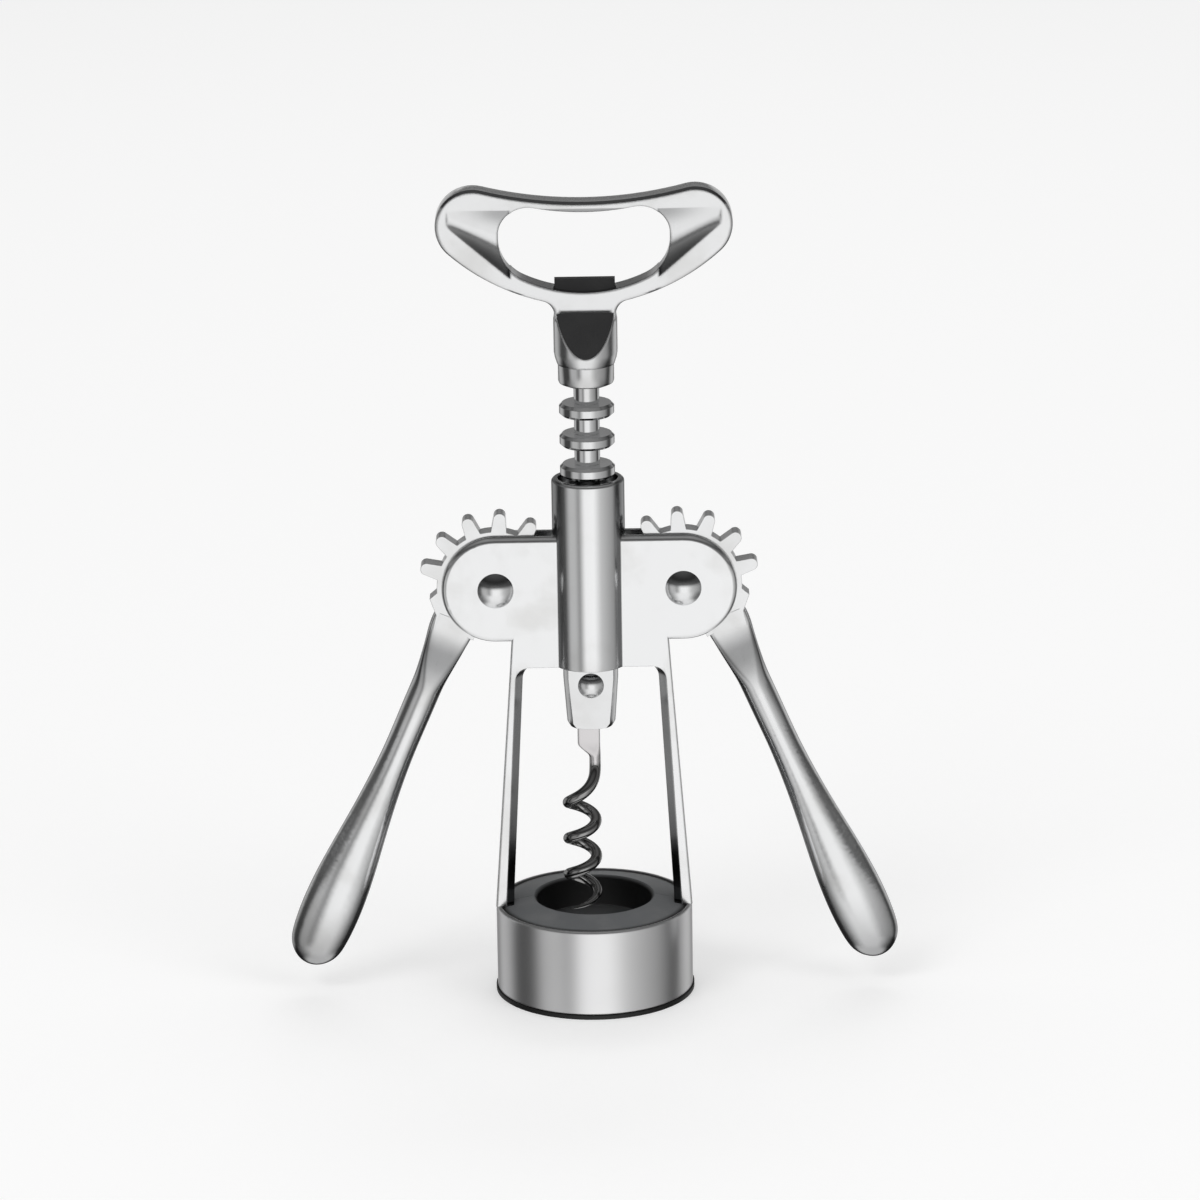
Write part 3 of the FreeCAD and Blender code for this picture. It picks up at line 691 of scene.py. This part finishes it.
# ---- studio: black flags, white cards and pale paper, which only glossy surfaces see
#
# How bright it is all the way round, as (degrees from the front towards +X, brightness).
# The first view is level, and the second is steeply down.
LEVEL_VIEW = (
    (-180, 0.80),
    (-170, 0.74),
    (-162, 0.14),
    (-152, 0.24),
    (-138, 0.52),
    (-120, 0.42),
    (-104, 0.06),
    (-78, 0.06),
    (-62, 0.50),
    (-44, 0.50),
    (-30, 0.26),
    (-13, 0.94),
    (16, 0.98),
    (38, 0.56),
    (60, 0.42),
    (82, 0.30),
    (98, 0.08),
    (110, 0.06),
    (122, 0.42),
    (140, 0.60),
    (162, 0.14),
    (170, 0.74),
    (180, 0.80),
)
STEEP_VIEW = (
    (-180, 0.02),
    (-100, 0.02),
    (-66, 0.30),
    (-26, 0.90),
    (26, 0.90),
    (66, 0.30),
    (100, 0.02),
    (180, 0.02),
)
# Upwards, as (the direction's height from 0 to 1, brightness).
OVERHEAD_VIEW = ((0.0, 0.06), (0.2, 0.07), (0.28, 0.29), (0.36, 0.17), (0.55, 0.04), (1.0, 0.25))
# The heights over which one view gives way to the next.
LEVEL_TO_OVERHEAD = (0.05, 0.16)
LEVEL_TO_STEEP = (-0.42, -0.56)
STEEP_TO_UNDER = (-0.8, -0.95)
UNDER_BRIGHTNESS = 0.8
ROOM_LIGHT = (0.62, 0.62, 0.62)
BACKDROP = (0.95, 0.95, 0.95)


def all_round(tree, across, along, view):
    """The brightness of a view in one direction."""
    turn = across.calculate("ARCTAN2", across, 0 - along)
    stops = [((degrees + 180) / 360, grey) for degrees, grey in view]
    share = turn * (0.5 / math.pi) + 0.5
    return tree.out(tree.add("ShaderNodeValToRGB", {"stops": stops}, {0: share}))


def studio_world():
    world = bpy.data.worlds.new("studio")
    world.use_nodes = True
    sky = Tree(world.node_tree)
    rays = sky.add("ShaderNodeLightPath")
    around = sky.add("ShaderNodeTexCoord")
    towards = sky.add("ShaderNodeSeparateXYZ", None, {0: sky.out(around, "Generated")})
    across, along, up = (sky.out(towards, axis) for axis in "XYZ")
    overhead = sky.out(sky.add("ShaderNodeValToRGB", {"stops": OVERHEAD_VIEW}, {0: up}))
    level = all_round(sky, across, along, LEVEL_VIEW)
    steep = all_round(sky, across, along, STEEP_VIEW)
    rising = up.over(*LEVEL_TO_OVERHEAD)
    sinking = up.over(*LEVEL_TO_STEEP)
    under = up.over(*STEEP_TO_UNDER)
    room = rising * overhead + (1 - rising) * level
    room = sinking * steep + (1 - sinking) * room
    room = under * UNDER_BRIGHTNESS + (1 - under) * room
    plain = sky.mix(sky.out(rays, "Is Camera Ray"), ROOM_LIGHT, BACKDROP)
    light = sky.mix(sky.out(rays, "Is Glossy Ray"), plain, room)
    backdrop = sky.add("ShaderNodeBackground", None, {"Color": light})
    sky.add("ShaderNodeOutputWorld", None, {"Surface": sky.out(backdrop)})
    return world


bpy.context.scene.world = studio_world()


# ---- lamps

LAMP_AIM = Vector((0, 0, 0.08))


def lamp(name, place, size, power):
    """A soft rectangular lamp that glossy surfaces don't mirror."""
    data = bpy.data.lights.new(name, "AREA")
    data.shape = "RECTANGLE"
    data.size, data.size_y = size
    data.energy = power
    thing = bpy.data.objects.new(name, data)
    thing.location = place
    thing.visible_glossy = False
    thing.rotation_euler = (LAMP_AIM - Vector(place)).to_track_quat("-Z", "Y").to_euler()
    bpy.context.scene.collection.objects.link(thing)


lamp("key", place=(-0.7, -0.9, 1.3), size=(0.7, 0.5), power=4.0)
lamp("fill", place=(0.9, -0.7, 0.9), size=(0.6, 0.6), power=2.0)
lamp("back", place=(0.1, 1.0, 1.1), size=(0.8, 0.3), power=1.6)


# ---- camera

CAMERA_AIM = Vector((0, 0, 0.090))
CAMERA_DISTANCE = 1.267
CAMERA_ELEVATION = math.radians(16.5)
CAMERA_ROLL = math.radians(-0.9)


def add_camera():
    data = bpy.data.cameras.new("camera")
    data.lens = 180
    data.sensor_width = 36
    data.shift_x = 0.00888
    data.shift_y = -0.013
    data.clip_end = 20
    camera = bpy.data.objects.new("camera", data)
    away = Vector((0, -math.cos(CAMERA_ELEVATION), math.sin(CAMERA_ELEVATION)))
    tilt = Matrix.Rotation(math.radians(90) - CAMERA_ELEVATION, 4, "X")
    roll = Matrix.Rotation(CAMERA_ROLL, 4, "Z")
    place = Matrix.Translation(CAMERA_AIM + CAMERA_DISTANCE * away)
    camera.matrix_world = place @ tilt @ roll
    bpy.context.scene.collection.objects.link(camera)
    return camera


bpy.context.scene.camera = add_camera()
bpy.context.scene.view_settings.view_transform = "Standard"
